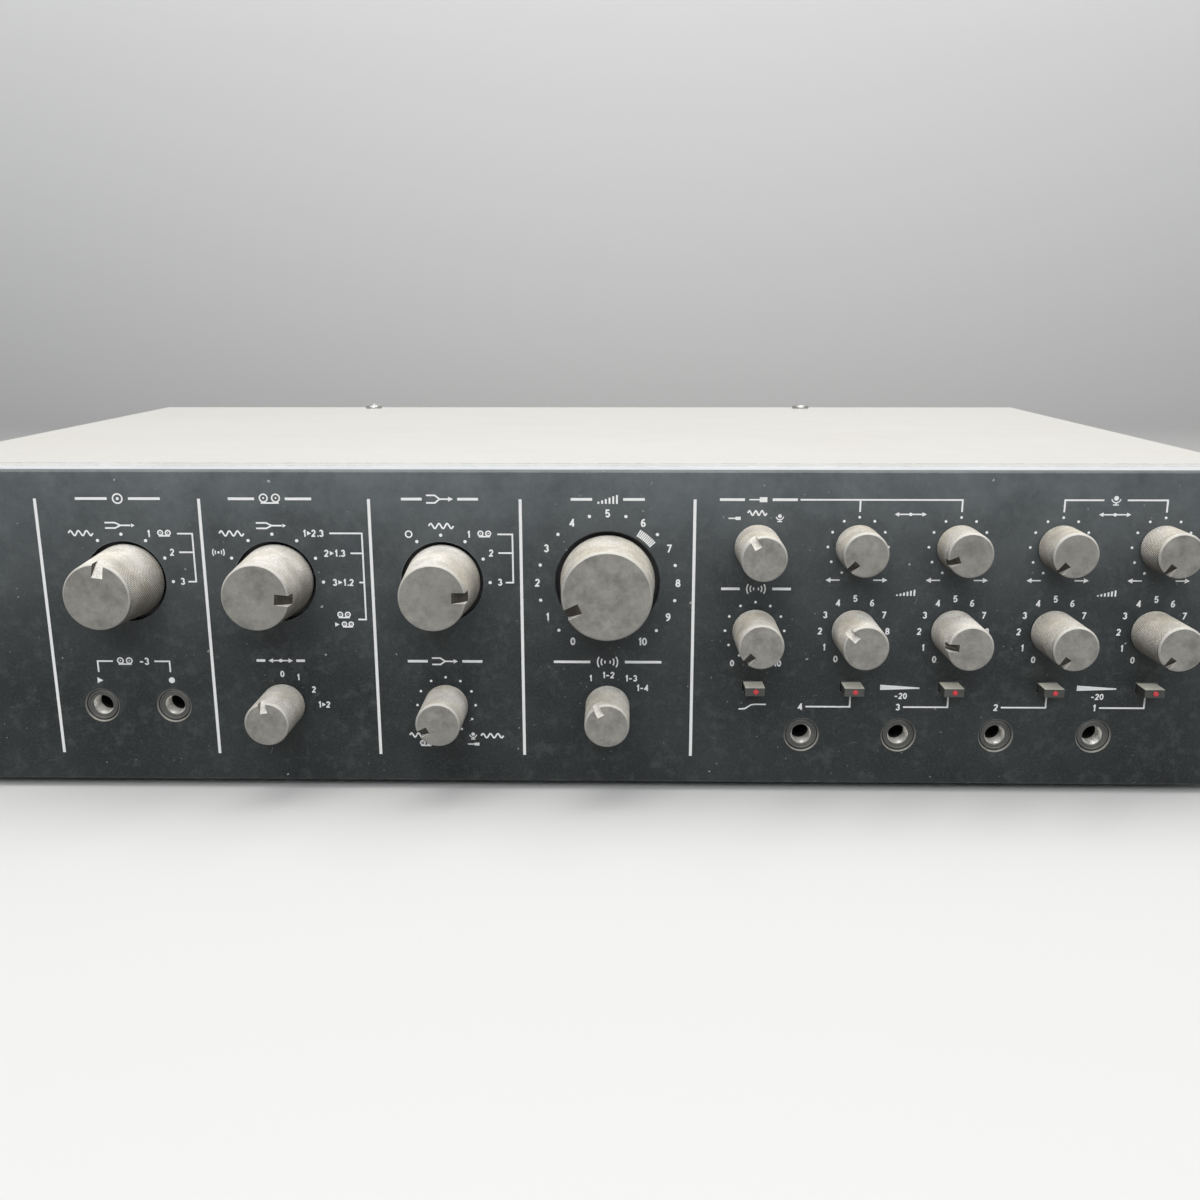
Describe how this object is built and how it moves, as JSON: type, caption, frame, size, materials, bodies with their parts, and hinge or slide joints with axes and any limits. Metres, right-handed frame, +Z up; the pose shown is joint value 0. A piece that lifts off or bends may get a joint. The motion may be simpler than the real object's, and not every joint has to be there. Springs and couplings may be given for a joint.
{
  "type": "audio mixer",
  "caption": "Table-top audio mixer in a low metal case, with turning selector, level and pan knobs, push buttons and phone jacks on its front panel.",
  "frame": {"origin": "bottom centre of the whole object, on the surface that its feet stand on", "axes": "+X to the right seen from the front panel, +Y from the panel to the rear, +Z up"},
  "size_m": [0.43, 0.2672, 0.1035],
  "materials": {
    "panel_black": "black anodised, fine satin",
    "zinc_steel": "zinc-plated sheet",
    "cover_paint": "pale satin enamel",
    "rear_black": "matte black paint",
    "foot_rubber": "matte",
    "screw_steel": "plated",
    "control_metal": "plated",
    "black_plastic": "moulded",
    "jack_plastic": "moulded, with a metal-lined bore",
    "board": "phenolic board with parts",
    "phono_nickel": "nickel plated",
    "knob_metal": "dark anodised, knurled side, satin face",
    "shaft_brass": "turned",
    "button_plastic": "moulded, red dot on the face"
  },
  "bodies": {
    "case": {"front_panel": "panel_black", "front_chassis": "zinc_steel", "base_pan": "zinc_steel", "rear_panel": "rear_black", "top_cover": "cover_paint", "feet": "foot_rubber", "case_screws": "screw_steel", "panel_nuts": "screw_steel", "potentiometers": "control_metal", "rotary_switches": "control_metal", "push_switches": "black_plastic", "jack_sockets": "jack_plastic", "circuit_board": "board", "board_standoffs": "zinc_steel", "power_transformer": "zinc_steel", "reverb_tank": "zinc_steel", "phono_plates": "black_plastic", "phono_sockets": "phono_nickel", "cord_bushing": "black_plastic", "fuse_holder": "black_plastic"},
    "monitor_control": {"knob_monitor": "knob_metal", "shaft_monitor": "shaft_brass"},
    "record_control": {"knob_record": "knob_metal", "shaft_record": "shaft_brass"},
    "mixing_control": {"knob_mixing": "knob_metal", "shaft_mixing": "shaft_brass"},
    "master_control": {"knob_master": "knob_metal", "shaft_master": "shaft_brass"},
    "adaptor_control": {"knob_adaptor": "knob_metal", "shaft_adaptor": "shaft_brass"},
    "balance_control": {"knob_balance": "knob_metal", "shaft_balance": "shaft_brass"},
    "reverb_select_control": {"knob_reverb_select": "knob_metal", "shaft_reverb_select": "shaft_brass"},
    "input_control": {"knob_input": "knob_metal", "shaft_input": "shaft_brass"},
    "reverb_level_control": {"knob_reverb_level": "knob_metal", "shaft_reverb_level": "shaft_brass"},
    "pan_4_control": {"knob_pan_4": "knob_metal", "shaft_pan_4": "shaft_brass"},
    "level_4_control": {"knob_level_4": "knob_metal", "shaft_level_4": "shaft_brass"},
    "pan_3_control": {"knob_pan_3": "knob_metal", "shaft_pan_3": "shaft_brass"},
    "level_3_control": {"knob_level_3": "knob_metal", "shaft_level_3": "shaft_brass"},
    "pan_2_control": {"knob_pan_2": "knob_metal", "shaft_pan_2": "shaft_brass"},
    "level_2_control": {"knob_level_2": "knob_metal", "shaft_level_2": "shaft_brass"},
    "pan_1_control": {"knob_pan_1": "knob_metal", "shaft_pan_1": "shaft_brass"},
    "level_1_control": {"knob_level_1": "knob_metal", "shaft_level_1": "shaft_brass"},
    "low_cut_key": {"button_low_cut": "button_plastic"},
    "power_key": {"button_power": "button_plastic"},
    "attenuator_4_key": {"button_attenuator_4": "button_plastic"},
    "attenuator_3_key": {"button_attenuator_3": "button_plastic"},
    "attenuator_2_key": {"button_attenuator_2": "button_plastic"},
    "attenuator_1_key": {"button_attenuator_1": "button_plastic"}
  },
  "joints": [
    {"name": "monitor_turn", "type": "hinge", "parent": "case", "child": "monitor_control", "pos_m": [-0.1334, -0.1131, 0.0672], "axis": [0, 1, 0], "range_deg": [-30, 90]},
    {"name": "record_turn", "type": "hinge", "parent": "case", "child": "record_control", "pos_m": [-0.0877, -0.1131, 0.0672], "axis": [0, 1, 0], "range_deg": [-150, 0]},
    {"name": "mixing_turn", "type": "hinge", "parent": "case", "child": "mixing_control", "pos_m": [-0.0369, -0.1131, 0.0672], "axis": [0, 1, 0], "range_deg": [-120, 0]},
    {"name": "master_turn", "type": "hinge", "parent": "case", "child": "master_control", "pos_m": [0.0131, -0.1131, 0.0672], "axis": [0, 1, 0], "range_deg": [-35, 265]},
    {"name": "adaptor_turn", "type": "hinge", "parent": "case", "child": "adaptor_control", "pos_m": [-0.0877, -0.1131, 0.0281], "axis": [0, 1, 0], "range_deg": [0, 90]},
    {"name": "balance_turn", "type": "hinge", "parent": "case", "child": "balance_control", "pos_m": [-0.0369, -0.1131, 0.0281], "axis": [0, 1, 0], "range_deg": [-32, 268]},
    {"name": "reverb_select_turn", "type": "hinge", "parent": "case", "child": "reverb_select_control", "pos_m": [0.0131, -0.1131, 0.0281], "axis": [0, 1, 0], "range_deg": [0, 90]},
    {"name": "input_turn", "type": "hinge", "parent": "case", "child": "input_control", "pos_m": [0.0578, -0.1131, 0.0784], "axis": [0, 1, 0], "range_deg": [0, 60]},
    {"name": "reverb_level_turn", "type": "hinge", "parent": "case", "child": "reverb_level_control", "pos_m": [0.0578, -0.1131, 0.0524], "axis": [0, 1, 0], "range_deg": [-12, 288]},
    {"name": "pan_4_turn", "type": "hinge", "parent": "case", "child": "pan_4_control", "pos_m": [0.0878, -0.1131, 0.0784], "axis": [0, 1, 0], "range_deg": [-14, 286]},
    {"name": "level_4_turn", "type": "hinge", "parent": "case", "child": "level_4_control", "pos_m": [0.0878, -0.1131, 0.0524], "axis": [0, 1, 0], "range_deg": [-102, 198]},
    {"name": "pan_3_turn", "type": "hinge", "parent": "case", "child": "pan_3_control", "pos_m": [0.1178, -0.1131, 0.0784], "axis": [0, 1, 0], "range_deg": [-38, 262]},
    {"name": "level_3_turn", "type": "hinge", "parent": "case", "child": "level_3_control", "pos_m": [0.1178, -0.1131, 0.0524], "axis": [0, 1, 0], "range_deg": [-62, 238]},
    {"name": "pan_2_turn", "type": "hinge", "parent": "case", "child": "pan_2_control", "pos_m": [0.1478, -0.1131, 0.0784], "axis": [0, 1, 0], "range_deg": [-10, 290]},
    {"name": "level_2_turn", "type": "hinge", "parent": "case", "child": "level_2_control", "pos_m": [0.1478, -0.1131, 0.0524], "axis": [0, 1, 0], "range_deg": [-4, 296]},
    {"name": "pan_1_turn", "type": "hinge", "parent": "case", "child": "pan_1_control", "pos_m": [0.1778, -0.1131, 0.0784], "axis": [0, 1, 0], "range_deg": [-3, 297]},
    {"name": "level_1_turn", "type": "hinge", "parent": "case", "child": "level_1_control", "pos_m": [0.1778, -0.1131, 0.0524], "axis": [0, 1, 0], "range_deg": [-4, 296]},
    {"name": "low_cut_press", "type": "slide", "parent": "case", "child": "low_cut_key", "axis": [0, 1, 0], "range_m": [0, 0.003]},
    {"name": "power_press", "type": "slide", "parent": "case", "child": "power_key", "axis": [0, 1, 0], "range_m": [0, 0.004]},
    {"name": "attenuator_4_press", "type": "slide", "parent": "case", "child": "attenuator_4_key", "axis": [0, 1, 0], "range_m": [0, 0.003]},
    {"name": "attenuator_3_press", "type": "slide", "parent": "case", "child": "attenuator_3_key", "axis": [0, 1, 0], "range_m": [0, 0.003]},
    {"name": "attenuator_2_press", "type": "slide", "parent": "case", "child": "attenuator_2_key", "axis": [0, 1, 0], "range_m": [0, 0.003]},
    {"name": "attenuator_1_press", "type": "slide", "parent": "case", "child": "attenuator_1_key", "axis": [0, 1, 0], "range_m": [0, 0.003]}
  ]
}
